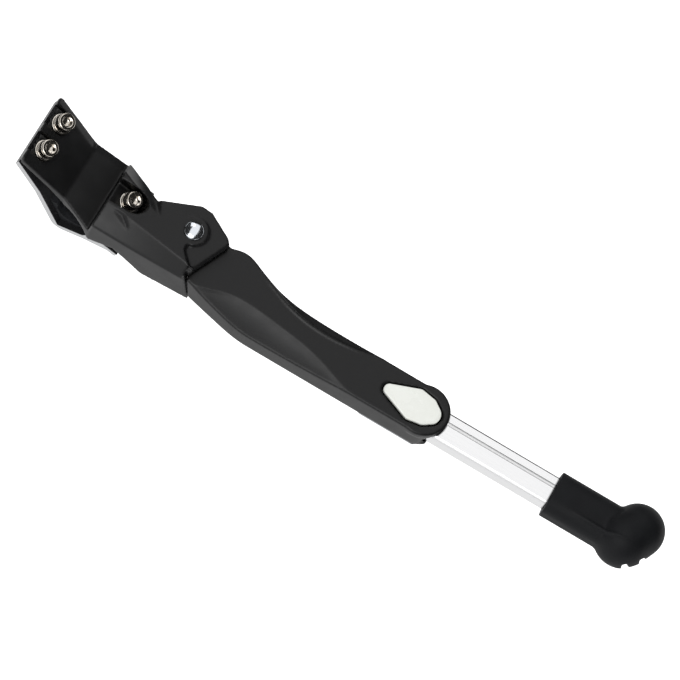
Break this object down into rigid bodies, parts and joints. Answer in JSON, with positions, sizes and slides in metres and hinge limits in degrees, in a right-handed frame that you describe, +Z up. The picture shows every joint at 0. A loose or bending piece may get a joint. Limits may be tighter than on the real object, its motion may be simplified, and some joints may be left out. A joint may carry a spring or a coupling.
{
  "type": "bicycle kickstand",
  "caption": "Bicycle kickstand that clamps round the chainstay: black bracket and sprung fold-up leg, press-button adjustable tube and a rubber foot.",
  "frame": {"origin": "centre of the clamped chainstay tube, in the middle of the jaw's length", "axes": "+X rearward along the chainstay, +Y towards the wheel, +Z up; the leg is down and splayed outward"},
  "size_m": [0.0534, 0.1363, 0.3381],
  "materials": {
    "black_cast": "satin black powder coat",
    "plate": "bare sheared edges, black faces",
    "pad": "matte, fine grain",
    "nickel": "nickel plated",
    "chrome": "polished",
    "bush": "turned, oiled",
    "spring_steel": "zinc plated",
    "tube": "polished, clear anodised",
    "button": "off-white, satin gloss",
    "plug": "moulded",
    "foot": "matte, moulded"
  },
  "bodies": {
    "bracket": {"bracket_body": "black_cast", "bracket_pad": "pad", "clamp_plate": "plate", "clamp_pad": "pad", "upper_clamp_bolts": "nickel", "upper_lock_washers": "nickel", "upper_flat_washers": "nickel", "lower_clamp_bolt": "nickel", "lower_lock_washer": "nickel", "lower_flat_washer": "nickel", "pivot_rivet": "chrome", "pivot_washer": "spring_steel", "rivet_tail_washer": "spring_steel", "spring_anchor_pin": "spring_steel"},
    "spring": {"toggle_spring": "spring_steel"},
    "leg": {"leg_sleeve": "black_cast", "pivot_bush": "bush", "spring_post": "spring_steel", "latch_spring": "spring_steel", "latch_screws": "nickel"},
    "button": {"release_button": "button", "latch_pin": "spring_steel"},
    "inner_leg": {"leg_tube": "tube", "tube_plug": "plug", "rubber_foot": "foot"}
  },
  "joints": [
    {"name": "leg_fold", "type": "hinge", "parent": "bracket", "child": "leg", "pos_m": [-0.002, -0.043, -0.042], "axis": [0, -0.9483, 0.3173], "range_deg": [0, 95], "deforming": ["toggle_spring"]},
    {"name": "spring_swing", "type": "hinge", "parent": "bracket", "child": "spring", "pos_m": [-0.00972, -0.01976, -0.03746], "axis": [0, -0.9483, 0.3173], "range_deg": [0, 78]},
    {"name": "button_press", "type": "slide", "parent": "leg", "child": "button", "axis": [0, 0.9483, -0.3173], "range_m": [0, 0.0014], "stiffness_N_per_m": 3000, "deforming": ["latch_spring"]},
    {"name": "leg_extend", "type": "slide", "parent": "leg", "child": "inner_leg", "axis": [0, -0.3173, -0.9483], "range_m": [0, 0.04]}
  ],
  "couplings": [
    {"joint": "spring_swing", "follows": "leg_fold", "ratio": 0.816}
  ]
}
